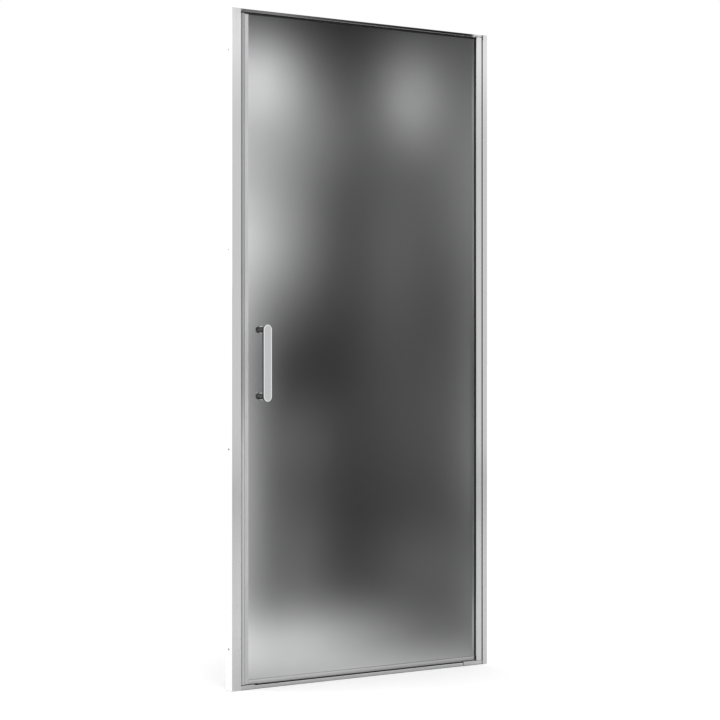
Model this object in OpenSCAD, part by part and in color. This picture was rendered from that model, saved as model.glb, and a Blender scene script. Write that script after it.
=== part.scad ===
// Framed pivot shower door: a glazed leaf that turns on two pins between a sill and a head rail.
// X runs along the doorway, the outside face looks to -Y, and Z is up from the shower tray.
// The origin is the middle of the sill's underside. All sizes are in millimetres.

/* [Doorway] */
// Width between the two walls
door_w = 1000; // [760:10:1200]
// Height from the tray to the top of the frame
door_h = 1950; // [1700:10:2100]

/* [Wall channels] */
// Depth of a wall channel, front to back
channel_d = 30; // [29:0.5:36]
// How far a wall channel stands out from the wall
channel_leg = 18; // [16:0.5:22]
// Wall thickness of a wall channel
channel_t = 2; // [1.6:0.1:2.2]
// Diameter of the holes for the wall screws
wall_hole_d = 5.5; // [4:0.5:7]
// Number of wall screws in one channel
wall_holes = 4; // [3:1:6]
// Distance of the end wall screws from the ends of a channel
wall_hole_end = 120; // [60:10:250]
// Thickness of the cap on top of a channel
cap_t = 2; // [1.5:0.5:3]

/* [Jambs] */
// Visible width of the strike jamb beside its channel
jamb_show = 16; // [12:0.5:20]
// Wall thickness of a jamb
jamb_t = 1.8; // [1.5:0.1:2.2]
// Clearance between a jamb and the legs of its channel
jamb_fit = 0.3; // [0.2:0.05:0.5]
// Depth by which the pivot jamb lies behind the edge of its channel
jamb_inset = 1.5; // [1:0.1:2.5]
// Number of screws that hold one jamb in its channel
jamb_screws_n = 3; // [2:1:5]
// Distance of these screws from the wall
jamb_screw_u = 11; // [10:0.5:12]
// Distance of the end jamb screws from the ends of the jamb
jamb_screw_end = 300; // [150:10:500]

/* [Rails] */
// Depth of the head rail and the sill, front to back
rail_d = 24; // [22:0.5:25]
// Height of the head rail
head_h = 8; // [7:0.5:12]
// Height of the sill at its crown
sill_h = 10; // [9:0.5:12]
// Wall thickness of both rails
rail_t = 1.5; // [1.2:0.1:1.8]
// Height of the lip along the back of the sill
sill_lip_h = 3; // [1.5:0.5:3.5]

/* [Corner and pivot blocks] */
// Length of the corner blocks on the strike side
corner_l = 52; // [35:1:80]
// Length of the lower pivot block
foot_l = 80; // [55:1:110]
// Length of the upper pivot block
crown_l = 42; // [38:1:70]
// Height of the blocks that stand on the tray
foot_h = 13; // [12:0.5:15]
// Thickness of the upper pivot block over the stile
crown_h = 6; // [5.8:0.1:7]
// Length of the tongue that plugs a block into its rail
tongue_l = 14; // [8:1:25]
// Clearance of that tongue in the rail
tongue_fit = 0.15; // [0.1:0.05:0.3]
// Width of the shadow line between a block and its rail
reveal_w = 1; // [0.6:0.1:2]

/* [Pivots] */
// Diameter of the pivot pins
pin_d = 8; // [6:0.5:9]
// Radial running clearance of a pin in its bush
pin_run = 0.05; // [0.02:0.01:0.1]
// Wall thickness of the bushes
bush_t = 2; // [1.5:0.1:2.5]
// Thickness of the washer that the leaf turns on
washer_t = 0.8; // [0.5:0.1:1.5]
// Depth of the pin in the lower bush
pin_foot = 8; // [6:0.5:9]
// Distance of the pivot axis from the edge of the stile
pivot_in = 8; // [7.5:0.5:9]

/* [Leaf] */
// Thickness of the glass
glass_t = 6; // [5:1:6]
// Width of the hinge stile
stile_w = 22; // [21.5:0.5:30]
// Depth of the hinge stile, front to back
stile_d = 22; // [20:0.5:22]
// Corner radius of the hinge stile
stile_r = 0.8; // [0.6:0.1:3]
// Wall thickness of the hinge stile
stile_t = 1.6; // [1.2:0.1:2]
// Gap between the stile and the wall channel beside it
stile_gap = 4; // [4:0.5:6]
// Depth of the stile's front behind the front of the frame
stile_back = 1; // [0.5:0.5:2]
// Depth of the glass face behind the stile's front
glass_back = 6; // [5:0.5:7]
// Depth by which the glass enters the stile
glass_bite = 5.8; // [5:0.2:6.2]
// Thickness of the gasket before the glass and of the seat behind it
gasket_t = 1.4; // [1:0.1:1.8]
// Width of the gasket lip that shows beside the stile
gasket_lip = 1.4; // [1:0.2:5]
// Gap between the top of the glass and the head rail
head_gap = 3.5; // [2.5:0.5:6]
// Thickness of the flange on a stile plug
plug_flange = 1.5; // [1:0.1:1.6]
// Depth of a stile plug inside the stile
plug_l = 30; // [20:1:60]
// Gap between the top of the stile and the upper pivot block
crown_gap = 2; // [1.5:0.5:3]

/* [Seals] */
// Depth of the two magnetic seals, front to back
seal_d = 10; // [9:0.5:12]
// Length of the neck that carries the frame's magnetic seal
neck_l = 7; // [5:0.5:9]
// Width of the frame's magnet tube
frame_tube_w = 8.8; // [7:0.2:11]
// Width of the leaf's magnet tube
leaf_tube_w = 6.4; // [5.6:0.2:9]
// Gap between the two magnet tubes when the door is shut
close_gap = 0.8; // [0.3:0.1:1.2]
// Wall thickness of the seals
seal_t = 1.1; // [0.8:0.1:1.4]
// Width by which the leaf's seal grips the glass
seal_grip = 5.5; // [4:0.5:9]
// Height of the sweep seal under the glass
sweep_h = 11; // [9:0.5:18]
// Gap between the sweep seal and the blocks that it passes over
sweep_gap = 3.2; // [2:0.1:4]
// Thickness of the wiper that hangs under the sweep seal
wiper_t = 2; // [1.2:0.1:2.4]
// Height by which the top seal grips the glass
top_grip = 2.4; // [1.5:0.1:4]

/* [Handle] */
// Length of the handle bar
bar_l = 222; // [160:2:320]
// Width of the handle bar
bar_w = 30; // [26:1:36]
// Thickness of the handle bar
bar_t = 7; // [6:0.5:10]
// Edge radius of the handle bar
bar_edge = 1.8; // [1:0.1:2.5]
// Distance from the glass to the front of the bar
bar_out = 36; // [30:1:55]
// Diameter of the handle posts
post_d = 22; // [18:1:24]
// Distance of the handle from the free edge of the glass
bar_in = 50; // [40:1:90]
// Height of the middle of the handle
bar_z = 936; // [800:2:1100]
// Diameter of the holes in the glass
glass_hole_d = 12; // [10:0.5:14]
// Diameter of the screws through the glass
bolt_d = 6; // [5:1:6]
// Thickness of the clear washers on both sides of the glass
disc_t = 1; // [0.5:0.1:1.5]
// Height of the caps on the inside of the glass
dome_h = 6; // [5:0.5:9]

/* [Hidden] */
$fn = 64;
fit = 0.1;
slide = 0.02;
wall_x = door_w / 2;
front_y = -channel_d / 2;
frame_top = door_h - cap_t;

// Both jambs are channels that open towards their wall
jamb_d = channel_d - 2 * channel_t - 2 * jamb_fit;
jamb_end_gap = 0.5;
strike_x = -wall_x + channel_leg + jamb_show;
pivot_jamb_x = wall_x - channel_leg + jamb_inset;
strike_leg_l = channel_leg + jamb_show - 6;
pivot_leg_l = wall_x - channel_t - jamb_end_gap - pivot_jamb_x;

// The hinge stile and the pivot axis in it
stile_right = wall_x - channel_leg - stile_gap;
stile_x = stile_right - stile_w / 2;
stile_left = stile_right - stile_w;
stile_y = front_y + stile_back + stile_d / 2;
pivot_x = stile_right - pivot_in;
pivot_y = stile_y;
glass_y = stile_y - stile_d / 2 + glass_back + glass_t / 2;

// Heights
foot_top = foot_h;
leaf_bottom = foot_top + washer_t;
crown_bottom = door_h - crown_h;
leaf_top = crown_bottom - crown_gap;
glass_top = door_h - head_h - head_gap;
sweep_bottom = foot_top + sweep_gap;
wiper_gap = 0.4;
top_seal_gap = 0.5;
top_seal_top = door_h - head_h - top_seal_gap;
top_seal_bottom = glass_top - top_grip;
glass_bottom = sweep_bottom + seal_t + fit;
seal_end_gap = 0.3;
frame_seal_bottom = foot_top + seal_end_gap;
frame_seal_top = door_h - head_h - seal_end_gap;

// Slot in the strike jamb that holds the frame's magnetic seal
slot_mouth = 3.4;
slot_w = 6.4;
slot_depth = 3.2;
slot_lip = 1.4;
slot_wall = 1.2;
neck_w = slot_mouth - 2 * fit;

// Places across the strike side
tube_right = strike_x + neck_l + frame_tube_w;
leaf_edge = tube_right + close_gap;
glass_left = leaf_edge + leaf_tube_w + seal_t + fit;
glass_right = stile_left + glass_bite;
tube_r = 1.5;
magnet_inset = seal_t + fit;

// Stile section
groove_w = glass_t + 2 * gasket_t + 2 * fit;
groove_depth = glass_bite + gasket_t + 2 * fit;
cavity_left = stile_left + groove_depth + stile_t;
cavity_w = stile_right - stile_t - cavity_left;
cavity_d = stile_d - 2 * stile_t;

// Bushes, pins and the screws that hold the blocks and plugs
pin_r = pin_d / 2;
bush_bore_r = pin_r + pin_run;
bush_r = bush_bore_r + bush_t;
bush_flange_r = bush_r + 2;
bush_flange_t = 1;
crown_skin = 1;
block_screw_r = 1.25;
block_screw_l = 8;
block_head_r = 2.2;
block_head_h = 1.5;
corner_screw_y = [3.2, 8.4];
pivot_screw_y = [-6, 6];
foot_screw_z = foot_h / 2;
head_screw_z = frame_top - block_head_r - fit;
plug_screw_r = 1.75;
plug_screw_l = 6.4;
plug_head_r = 3.2;
plug_head_h = 1.4;
jamb_screw_r = 2;
jamb_screw_l = 9;
jamb_head_r = 3.4;
jamb_head_h = 2;
jamb_cap_r = 5;
jamb_cap_h = 3.2;
jamb_cap_t = 0.8;

// Handle
bar_x = glass_left + bar_in;
post_c = bar_l - bar_w;
post_r = post_d / 2;
glass_front = glass_y - glass_t / 2;
glass_back_y = glass_y + glass_t / 2;
bar_back = glass_front - bar_out + bar_t;
post_l = bar_out - bar_t - disc_t;
spigot_r = 5;
spigot_l = 4;
bolt_r = bolt_d / 2;
bolt_head_r = 5;
bolt_head_h = 3.2;
bolt_in_post = 14;
dome_r = post_r;

// Evenly spaced values from one end to the other
function spread(low, high, count) = [for (i = [0 : count - 1]) low + (high - low) * i / (count - 1)];
wall_hole_z = spread(wall_hole_end, door_h - wall_hole_end, wall_holes);
jamb_screw_z = spread(jamb_screw_end, door_h - jamb_screw_end, jamb_screws_n);

module rounded_rect(w, d, r) {
    square([w - 2 * r, d], center = true);
    square([w, d - 2 * r], center = true);
    for (sx = [-1, 1], sy = [-1, 1])
        translate([sx * (w / 2 - r), sy * (d / 2 - r)])
            circle(r = r);
}

// A plain round bar or cutter along +Z
module rod(r, l) {
    cylinder(r = r, h = l);
}

module along_x() {
    rotate([0, 90, 0]) children();
}

module along_y() {
    rotate([-90, 0, 0]) children();
}

// Extrudes a section drawn as [depth, height] along +X
module run_x(l) {
    rotate([90, 0, 90]) linear_extrude(l) children();
}

// A pan head screw that points along +Z, with its head below z = 0
module pan_screw(r, l, head_r, head_h) {
    rotate_extrude()
        polygon([
            [0, -head_h], [head_r * 0.7, -head_h], [head_r, -head_h * 0.5], [head_r, 0],
            [r, 0], [r, l - r * 0.6], [r * 0.5, l], [0, l]
        ]);
}

// A ring with a bore
module ring(outer, inner, h) {
    difference() {
        cylinder(r = outer, h = h);
        translate([0, 0, -1]) cylinder(r = inner, h = h + 2);
    }
}

// Wall channel: a channel that opens to +X, with rounded leg tips and the screw holes
module channel_section() {
    leg = channel_leg - channel_t / 2;
    translate([0, -channel_d / 2]) square([channel_t, channel_d]);
    for (s = [-1, 1]) {
        translate([leg / 2, s * (channel_d - channel_t) / 2])
            square([leg, channel_t], center = true);
        translate([leg, s * (channel_d - channel_t) / 2])
            circle(d = channel_t);
    }
}

module wall_channel() {
    difference() {
        linear_extrude(frame_top) channel_section();
        for (z = wall_hole_z)
            translate([-1, 0, z]) along_x() rod(wall_hole_d / 2, channel_t + 2);
        for (z = jamb_screw_z)
            translate([jamb_screw_u, channel_d / 2 - channel_t - 1, z])
                along_y() rod(jamb_screw_r + fit, channel_t + 2);
    }
}

module wall_channel_left() {
    color("silver") translate([-wall_x, 0, 0]) wall_channel();
}

module wall_channel_right() {
    color("silver") mirror([1, 0, 0]) translate([-wall_x, 0, 0]) wall_channel();
}

// Caps: a plate over the channel and its jamb, with a plug that reaches between the legs
module channel_cap(reach, plug_l) {
    plug_h = 8;
    plug_d = jamb_d - 2 * jamb_t - 2 * jamb_fit;
    difference() {
        union() {
            translate([0, -channel_d / 2, frame_top]) cube([channel_leg, channel_d, cap_t]);
            translate([0, -jamb_d / 2, frame_top]) cube([reach, jamb_d, cap_t]);
        }
        translate([reach, -rail_d / 2 - fit, frame_top - 1]) cube([channel_leg, rail_d + 2 * fit, cap_t + 2]);
    }
    translate([channel_t + fit, -plug_d / 2, frame_top - plug_h]) cube([plug_l, plug_d, plug_h]);
}

module channel_caps() {
    color("silver") {
        translate([-wall_x, 0, 0]) channel_cap(channel_leg + jamb_show, 16);
        mirror([1, 0, 0]) translate([-wall_x, 0, 0]) channel_cap(channel_leg - jamb_inset, 8);
    }
}

// Jambs: channels whose web closes the doorway side and whose legs slide in the wall channel
module jamb_section(leg_l) {
    translate([-jamb_t, -jamb_d / 2]) square([jamb_t, jamb_d]);
    for (s = [-1, 1])
        translate([-leg_l / 2, s * (jamb_d - jamb_t) / 2])
            square([leg_l, jamb_t], center = true);
}

module seal_slot() {
    translate([-slot_lip - 1, -slot_mouth / 2]) square([slot_lip + 2, slot_mouth]);
    translate([-slot_lip - slot_depth, -slot_w / 2]) square([slot_depth, slot_w]);
}

module strike_jamb_section() {
    boss_w = slot_w + 2 * slot_wall;
    boss_l = slot_lip + slot_depth + slot_wall;
    difference() {
        union() {
            jamb_section(strike_leg_l);
            translate([-boss_l, glass_y - boss_w / 2]) square([boss_l, boss_w]);
        }
        translate([0, glass_y]) seal_slot();
    }
}

module jamb_screw_holes(x) {
    for (z = jamb_screw_z)
        translate([x, jamb_d / 2 - jamb_t - 1, z])
            along_y() rod(jamb_screw_r + slide, jamb_t + 2);
}

module block_screw_holes(x, ys, zs) {
    for (y = ys, z = zs)
        translate([x, y, z]) along_x() rod(block_screw_r + fit, jamb_t + 2);
}

module strike_jamb() {
    color("silver") difference() {
        translate([strike_x, 0, 0]) linear_extrude(frame_top) strike_jamb_section();
        jamb_screw_holes(-wall_x + jamb_screw_u);
        block_screw_holes(strike_x - jamb_t - 1, corner_screw_y, [foot_screw_z, head_screw_z]);
    }
}

module pivot_jamb() {
    color("dimgrey") difference() {
        translate([pivot_jamb_x, 0, 0]) mirror([1, 0, 0])
            linear_extrude(frame_top) jamb_section(pivot_leg_l);
        jamb_screw_holes(wall_x - jamb_screw_u);
        block_screw_holes(pivot_jamb_x - 1, pivot_screw_y, [foot_screw_z, head_screw_z]);
    }
}

module jamb_screws() {
    color("lightgrey")
        for (s = [-1, 1], z = jamb_screw_z)
            translate([s * (wall_x - jamb_screw_u), channel_d / 2, z])
                rotate([90, 0, 0]) pan_screw(jamb_screw_r, jamb_screw_l, jamb_head_r, jamb_head_h);
}

module jamb_screw_caps() {
    color("whitesmoke")
        for (s = [-1, 1], z = jamb_screw_z)
            translate([s * (wall_x - jamb_screw_u), channel_d / 2, z]) along_y()
                rotate_extrude()
                    polygon([
                        [0, jamb_cap_h], [jamb_cap_r - 1.2, jamb_cap_h], [jamb_cap_r, jamb_cap_h - 1.2],
                        [jamb_cap_r, 0], [jamb_cap_r - jamb_cap_t, 0],
                        [jamb_cap_r - jamb_cap_t, jamb_cap_h - jamb_cap_t], [0, jamb_cap_h - jamb_cap_t]
                    ]);
}

// Head rail: a flat box section with rounded long edges
head_left = strike_x + corner_l;
head_right = pivot_jamb_x - crown_l;
sill_right = pivot_jamb_x - foot_l;
rail_r = 0.8;

module head_outline() {
    rounded_rect(rail_d, head_h, rail_r);
}

module head_hollow() {
    square([rail_d - 2 * rail_t, head_h - 2 * rail_t], center = true);
}

module head_rail() {
    color("silver") translate([head_left, 0, door_h - head_h / 2])
        run_x(head_right - head_left) difference() {
            head_outline();
            head_hollow();
        }
}

// Sill: a box section with a rounded front over a sealant groove, a crown that sheds water and a lip
sill_front_h = sill_h - 1;
sill_front_r = 2;
groove_in = 1;
groove_h = 1.4;
lip_w = 2;

module sill_outline() {
    polygon([
        [-rail_d / 2 + groove_in, 0], [rail_d / 2, 0], [rail_d / 2, sill_h], [-2, sill_h],
        [-rail_d / 2 + sill_front_r, sill_front_h], [-rail_d / 2, sill_front_h - sill_front_r],
        [-rail_d / 2, groove_h + groove_in / 2], [-rail_d / 2 + groove_in, groove_h]
    ]);
    translate([-rail_d / 2 + sill_front_r, sill_front_h - sill_front_r]) circle(r = sill_front_r);
}

module sill_hollow() {
    translate([-rail_d / 2 + rail_t + 1, rail_t])
        square([rail_d - 2 * rail_t - 1, sill_h - 2 * rail_t - 1]);
}

module sill() {
    color("silver") translate([head_left, 0, 0]) run_x(sill_right - head_left) {
        difference() {
            sill_outline();
            sill_hollow();
        }
        translate([rail_d / 2 - lip_w, sill_h - 1]) square([lip_w, sill_lip_h - lip_w / 2 + 1]);
        translate([rail_d / 2 - lip_w / 2, sill_h + sill_lip_h - lip_w / 2]) circle(d = lip_w);
    }
}

// Tongues that plug the blocks into the hollow rails
module head_tongue() {
    square([rail_d - 2 * rail_t - 2 * tongue_fit, head_h - 2 * rail_t - 2 * tongue_fit], center = true);
}

module sill_tongue() {
    translate([-rail_d / 2 + rail_t + 1 + tongue_fit, rail_t + tongue_fit])
        square([rail_d - 2 * rail_t - 1 - 2 * tongue_fit, sill_h - 2 * rail_t - 1 - 2 * tongue_fit]);
}

// Holes that the block screws cut into the end of a block
module block_bores(x, ys, z) {
    for (y = ys)
        translate([x, y, z]) along_x() rod(block_screw_r + slide, block_screw_l + 1);
}

// The body of a block, with a shallow neck where its rail begins: side is 1 for +X and -1 for -X
module block_body(l, h, neck_h, side) {
    neck_in = 0.8;
    neck_root = 1;
    translate([side < 0 ? reveal_w : 0, 0, h / 2]) run_x(l - reveal_w) rounded_rect(rail_d, h, rail_r);
    translate([side < 0 ? 0 : l - reveal_w - neck_root, -rail_d / 2 + neck_in, neck_in])
        cube([reveal_w + neck_root, rail_d - 2 * neck_in, neck_h - 2 * neck_in]);
}

module head_corner_block() {
    color("lightgrey") difference() {
        union() {
            translate([strike_x, 0, door_h - head_h]) block_body(corner_l, head_h, head_h, 1);
            translate([head_left - 1, 0, door_h - head_h / 2]) run_x(tongue_l + 1) head_tongue();
        }
        block_bores(strike_x - 1, corner_screw_y, head_screw_z);
    }
}

module sill_corner_block() {
    color("lightgrey") difference() {
        union() {
            translate([strike_x, 0, 0]) block_body(corner_l, foot_h, sill_front_h, 1);
            translate([head_left - 1, 0, 0]) run_x(tongue_l + 1) sill_tongue();
        }
        block_bores(strike_x - 1, corner_screw_y, foot_screw_z);
    }
}

// The upper block is a thin plate over the stile and fills the rail's height beyond it
module upper_pivot_block() {
    step_l = 8;
    color("lightgrey") difference() {
        union() {
            translate([head_right + reveal_w, 0, crown_bottom + crown_h / 2])
                run_x(crown_l - reveal_w) rounded_rect(rail_d, crown_h, rail_r);
            translate([head_right, 0, door_h - head_h]) block_body(step_l, head_h, head_h, -1);
            translate([head_right - tongue_l, 0, door_h - head_h / 2]) run_x(tongue_l + 1) head_tongue();
        }
        translate([pivot_x, pivot_y, crown_bottom - 1])
            cylinder(r = bush_r + slide, h = crown_h - crown_skin + 1);
        block_bores(pivot_jamb_x - block_screw_l, pivot_screw_y, head_screw_z);
    }
}

module lower_pivot_block() {
    color("lightgrey") difference() {
        union() {
            translate([sill_right, 0, 0]) block_body(foot_l, foot_h, sill_front_h, -1);
            translate([sill_right - tongue_l, 0, 0]) run_x(tongue_l + 1) sill_tongue();
        }
        translate([pivot_x, pivot_y, foot_top - bush_flange_t])
            cylinder(r = bush_flange_r + slide, h = bush_flange_t + 1);
        translate([pivot_x, pivot_y, foot_top - pin_foot - bush_t])
            cylinder(r = bush_r + slide, h = pin_foot + bush_t + 1);
        block_bores(pivot_jamb_x - block_screw_l, pivot_screw_y, foot_screw_z);
    }
}

module block_screws() {
    color("lightgrey") {
        for (y = corner_screw_y, z = [foot_screw_z, head_screw_z])
            translate([strike_x - jamb_t, y, z])
                along_x() pan_screw(block_screw_r, block_screw_l, block_head_r, block_head_h);
        for (y = pivot_screw_y, z = [foot_screw_z, head_screw_z])
            translate([pivot_jamb_x + jamb_t, y, z])
                rotate([0, -90, 0]) pan_screw(block_screw_r, block_screw_l, block_head_r, block_head_h);
    }
}

// Bushes: the upper one is a plain flanged bush, the lower one a flanged cup
module upper_bush() {
    color("white") translate([pivot_x, pivot_y, 0]) {
        translate([0, 0, crown_bottom]) ring(bush_r, bush_bore_r, crown_h - crown_skin - fit);
        translate([0, 0, crown_bottom - bush_flange_t]) ring(bush_flange_r, bush_bore_r, bush_flange_t);
    }
}

module lower_bush() {
    floor_t = bush_t - fit;
    color("white") translate([pivot_x, pivot_y, foot_top]) difference() {
        union() {
            translate([0, 0, -pin_foot - floor_t]) cylinder(r = bush_r, h = pin_foot + floor_t);
            translate([0, 0, -bush_flange_t]) cylinder(r = bush_flange_r, h = bush_flange_t);
        }
        translate([0, 0, -pin_foot]) cylinder(r = bush_bore_r, h = pin_foot + 1);
    }
}

module thrust_washer() {
    color("dimgrey") translate([pivot_x, pivot_y, foot_top])
        ring(bush_flange_r - 0.5, bush_bore_r, washer_t);
}

// A magnet tube seen from above, with room for the magnet strip
module tube_section(w) {
    difference() {
        rounded_rect(w, seal_d, tube_r);
        square([w - 2 * seal_t, seal_d - 2 * seal_t], center = true);
    }
}

module frame_seal() {
    base_w = slot_w - 2 * fit;
    base_l = slot_depth - 2 * fit;
    tube_x = strike_x + neck_l + frame_tube_w / 2;
    neck_start = strike_x - slot_lip - fit - 0.5;
    color("gainsboro") translate([0, 0, frame_seal_bottom])
        linear_extrude(frame_seal_top - frame_seal_bottom) {
            translate([tube_x, glass_y]) tube_section(frame_tube_w);
            translate([strike_x - slot_lip - fit - base_l, glass_y - base_w / 2]) square([base_l, base_w]);
            translate([neck_start, glass_y - neck_w / 2])
                square([strike_x + neck_l + seal_t / 2 - neck_start, neck_w]);
        }
}

module frame_magnet() {
    color("dimgrey") translate([strike_x + neck_l + frame_tube_w / 2, glass_y, frame_seal_bottom + 1])
        linear_extrude(frame_seal_top - frame_seal_bottom - 2)
            square([frame_tube_w - 2 * magnet_inset, seal_d - 2 * magnet_inset], center = true);
}

// Glass with the two holes for the handle
module glass_panel() {
    color([0.75, 0.78, 0.8, 0.6]) difference() {
        translate([glass_left, glass_front, glass_bottom])
            cube([glass_right - glass_left, glass_t, glass_top - glass_bottom]);
        for (s = [-1, 1])
            translate([bar_x, glass_front - 1, bar_z + s * post_c / 2])
                along_y() rod(glass_hole_d / 2, glass_t + 2);
    }
}

// Hinge stile: a rounded extrusion with a glazing groove, a hollow for the plugs and a rear hollow
module stile_outline() {
    translate([stile_x, stile_y]) rounded_rect(stile_w, stile_d, stile_r);
}

module stile_cavity(clear) {
    translate([cavity_left + clear, stile_y - cavity_d / 2 + clear])
        square([cavity_w - 2 * clear, cavity_d - 2 * clear]);
}

module stile_section() {
    rear_low = glass_y + groove_w / 2 + stile_t;
    rear_high = stile_y + stile_d / 2 - stile_t;
    difference() {
        stile_outline();
        translate([stile_left - 1, glass_y - groove_w / 2]) square([groove_depth + 1, groove_w]);
        stile_cavity(0);
        translate([stile_left + stile_t, rear_low])
            square([cavity_left - stile_left - 2 * stile_t, rear_high - rear_low]);
    }
}

plug_screw_z = plug_l / 2;

module plug_screw_cutter(z) {
    head_gap_r = 2 * fit;
    translate([pivot_x, stile_y + stile_d / 2, z]) rotate([90, 0, 0]) {
        translate([0, 0, -1]) rod(plug_screw_r + slide, plug_screw_l + 1.5);
        translate([0, 0, -fit])
            cylinder(r1 = plug_head_r + head_gap_r, r2 = plug_screw_r + head_gap_r, h = plug_head_h + fit);
    }
}

module hinge_stile() {
    color("silver") difference() {
        translate([0, 0, leaf_bottom + plug_flange])
            linear_extrude(leaf_top - leaf_bottom - 2 * plug_flange) stile_section();
        plug_screw_cutter(leaf_bottom + plug_flange + plug_screw_z);
        plug_screw_cutter(leaf_top - plug_flange - plug_screw_z);
    }
}

// Glazing: a milky seat behind the glass and round its edge, and a black wedge gasket in front
module glazing_strip(side, lip) {
    translate([stile_left - lip, glass_y + side * (glass_t + gasket_t) / 2 - gasket_t / 2])
        square([lip + groove_depth - fit, gasket_t]);
}

module glazing_seat() {
    color("whitesmoke") translate([0, 0, glass_bottom])
        linear_extrude(glass_top - glass_bottom) {
            glazing_strip(1, 0);
            translate([glass_right + fit, glass_y - glass_t / 2])
                square([stile_left + groove_depth - fit - glass_right - fit, glass_t]);
        }
}

module glazing_gasket() {
    color("dimgrey") translate([0, 0, glass_bottom])
        linear_extrude(glass_top - glass_bottom) glazing_strip(-1, gasket_lip);
}

// Stile plugs: a flange with the stile's outline and a body with the bore for the pin
module stile_plug() {
    difference() {
        union() {
            linear_extrude(plug_flange) stile_outline();
            linear_extrude(plug_flange + plug_l) stile_cavity(fit);
        }
        translate([pivot_x, pivot_y, -1]) cylinder(r = pin_r + slide, h = plug_flange + plug_l + 2);
        translate([pivot_x, stile_y + stile_d / 2, plug_flange + plug_screw_z])
            rotate([90, 0, 0]) rod(plug_screw_r + slide, plug_screw_l + 0.5);
    }
}

module lower_stile_plug() {
    color("lightgrey") translate([0, 0, leaf_bottom]) stile_plug();
}

module upper_stile_plug() {
    color("lightgrey") translate([0, 0, leaf_top]) mirror([0, 0, 1]) stile_plug();
}

// Pins with chamfered ends
module pin(l) {
    c = 0.6;
    rotate_extrude()
        polygon([[0, 0], [pin_r - c, 0], [pin_r, c], [pin_r, l - c], [pin_r - c, l], [0, l]]);
}

module lower_pivot_pin() {
    tip = foot_top - pin_foot + 0.5;
    color("slategrey") translate([pivot_x, pivot_y, tip]) pin(leaf_bottom + plug_flange + plug_l - tip);
}

module upper_pivot_pin() {
    tip = door_h - crown_skin - 0.6;
    foot = leaf_top - plug_flange - plug_l;
    color("slategrey") translate([pivot_x, pivot_y, foot]) pin(tip - foot);
}

module plug_screws() {
    color("lightgrey")
        for (z = [leaf_bottom + plug_flange + plug_screw_z, leaf_top - plug_flange - plug_screw_z])
            translate([pivot_x, stile_y + stile_d / 2, z]) rotate([90, 0, 0])
                rotate_extrude()
                    polygon([
                        [0, 0.1], [plug_head_r, 0.1], [plug_screw_r, plug_head_h],
                        [plug_screw_r, plug_screw_l - 0.8], [plug_screw_r * 0.4, plug_screw_l],
                        [0, plug_screw_l]
                    ]);
}

// Leaf seal: a magnet tube with two lips that grip the free edge of the glass
module leaf_seal() {
    lip_l = seal_t + fit + seal_grip;
    color("gainsboro") translate([0, 0, sweep_bottom])
        linear_extrude(top_seal_bottom - fit - sweep_bottom) {
            translate([leaf_edge + leaf_tube_w / 2, glass_y]) tube_section(leaf_tube_w);
            translate([leaf_edge + leaf_tube_w - seal_t, glass_y - glass_t / 2 - seal_t])
                square([2 * seal_t, glass_t + 2 * seal_t]);
            for (s = [-1, 1])
                translate([leaf_edge + leaf_tube_w, glass_y + s * (glass_t + seal_t) / 2 - seal_t / 2])
                    square([lip_l, seal_t]);
        }
}

module leaf_magnet() {
    color("dimgrey") translate([leaf_edge + leaf_tube_w / 2, glass_y, sweep_bottom + 1])
        linear_extrude(top_seal_bottom - fit - sweep_bottom - 2)
            square([leaf_tube_w - 2 * magnet_inset, seal_d - 2 * magnet_inset], center = true);
}

// Sweep seal: a clip under the glass with a fin that leans towards the shower
module sweep_seal() {
    left = leaf_edge + leaf_tube_w + seal_t + fit + seal_grip + fit;
    right = stile_left - gasket_lip - fit;
    color("gainsboro") translate([left, glass_y, sweep_bottom]) run_x(right - left) {
        translate([-glass_t / 2 - seal_t, 0]) square([glass_t + 2 * seal_t, seal_t]);
        for (s = [-1, 1])
            translate([s * (glass_t + seal_t) / 2 - seal_t / 2, 0]) square([seal_t, sweep_h]);
        polygon([
            [glass_t / 2 + seal_t / 2, 0], [glass_t / 2 + seal_t + 3, 0],
            [glass_t / 2 + seal_t + 3, 0.8], [glass_t / 2 + seal_t / 2, 3]
        ]);
    }
}

// Wiper: a rubber blade under the sweep seal, cut shorter over the two blocks
module sweep_wiper() {
    right = stile_left - fit;
    low_left = head_left + wiper_gap;
    low_right = sill_right - wiper_gap;
    low = sill_h + wiper_gap;
    high = foot_top + wiper_gap;
    inset = 0.5;
    color("dimgrey") translate([0, glass_front - seal_t + inset, 0]) {
        translate([leaf_edge, 0, high]) cube([right - leaf_edge, wiper_t, sweep_bottom - high]);
        translate([low_left, 0, low]) cube([low_right - low_left, wiper_t, sweep_bottom - low]);
    }
}

// Top seal: a rubber channel over the top edge of the glass
module top_seal() {
    leg_right = stile_left - gasket_lip - fit;
    cap_z = glass_top + fit;
    cap_h = top_seal_top - cap_z;
    shoulder = 1;
    half = glass_t / 2 + seal_t;
    color("dimgrey") {
        for (y = [glass_front - seal_t, glass_back_y])
            translate([leaf_edge, y, top_seal_bottom])
                cube([leg_right - leaf_edge, seal_t, cap_z + shoulder / 2 - top_seal_bottom]);
        translate([leaf_edge, glass_y, cap_z]) run_x(stile_left - fit - leaf_edge)
            polygon([
                [-half, 0], [half, 0], [half, shoulder],
                [half - seal_t, cap_h], [seal_t - half, cap_h], [-half, shoulder]
            ]);
    }
}

// Handle bar: round ends and a straight middle that share one rounded edge, front to -Y
module bar_half_profile() {
    w = bar_w / 2;
    square([w - bar_edge, bar_t]);
    translate([0, 0.6]) square([w, bar_t - 0.6 - bar_edge]);
    square([w - 0.6, bar_t - bar_edge]);
    translate([w - bar_edge, bar_t - bar_edge]) circle(r = bar_edge);
    translate([w - 0.6, 0.6]) circle(r = 0.6);
}

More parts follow.
